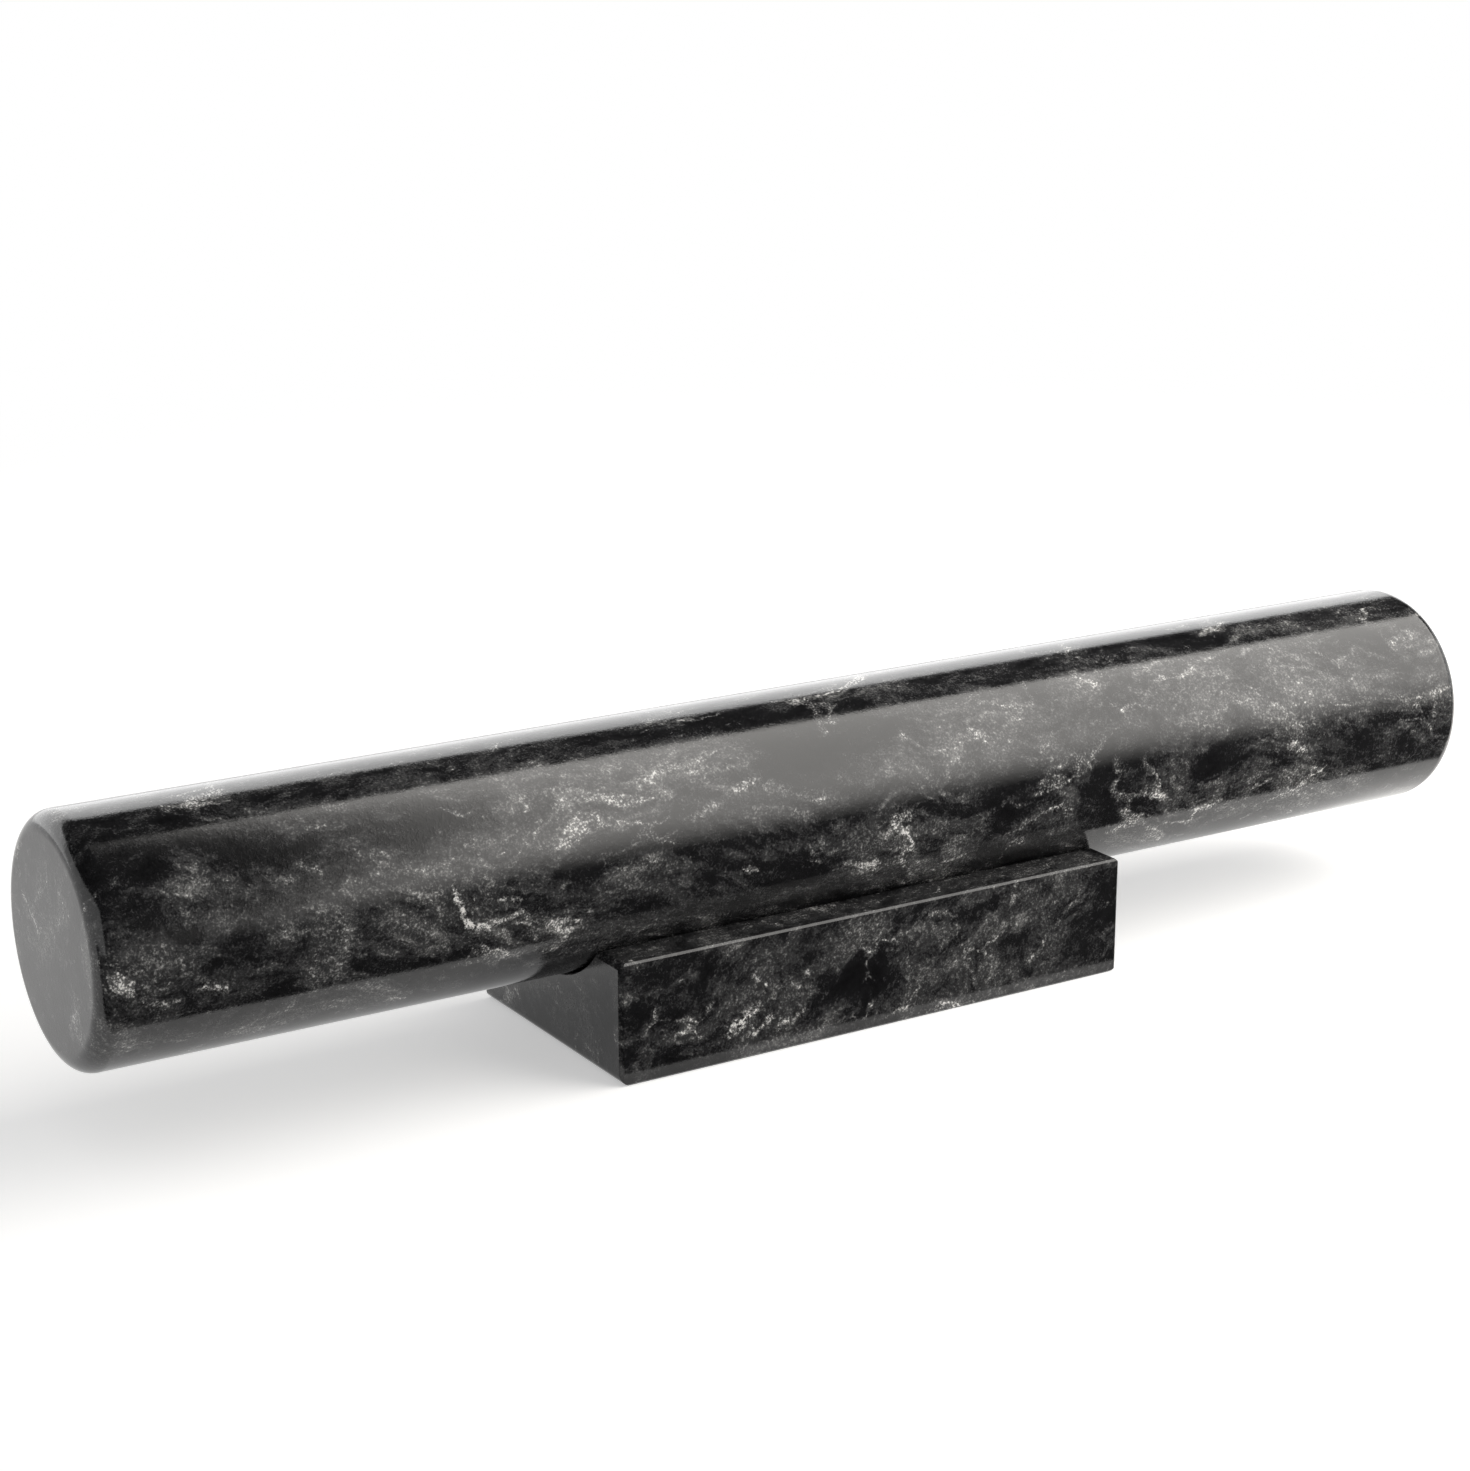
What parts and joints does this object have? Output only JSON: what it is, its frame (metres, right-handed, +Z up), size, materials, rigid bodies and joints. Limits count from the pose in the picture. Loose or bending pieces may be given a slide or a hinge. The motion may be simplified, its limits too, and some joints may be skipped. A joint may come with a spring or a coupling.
{
  "type": "rolling pin",
  "caption": "Solid marble rolling pin without handles, a straight cylinder with rounded ends, lying in the groove of its own marble block stand.",
  "frame": {"origin": "on the surface that the stand rests on, under the middle of the stand", "axes": "+X along the pin and the stand, +Y across the groove, +Z up"},
  "size_m": [0.4, 0.07, 0.0797],
  "materials": {
    "pin_marble": "polished black marble with grey clouds, pale veins and light flecks",
    "stand_marble": "polished black marble with grey clouds, pale veins and light flecks"
  },
  "bodies": {
    "stand": {"stand": "stand_marble"},
    "pin": {"rolling_pin": "pin_marble"}
  },
  "joints": [
    {"name": "pin_lift", "type": "slide", "parent": "stand", "child": "pin", "axis": [0, 0, 1], "range_m": [0, 0.045]}
  ]
}
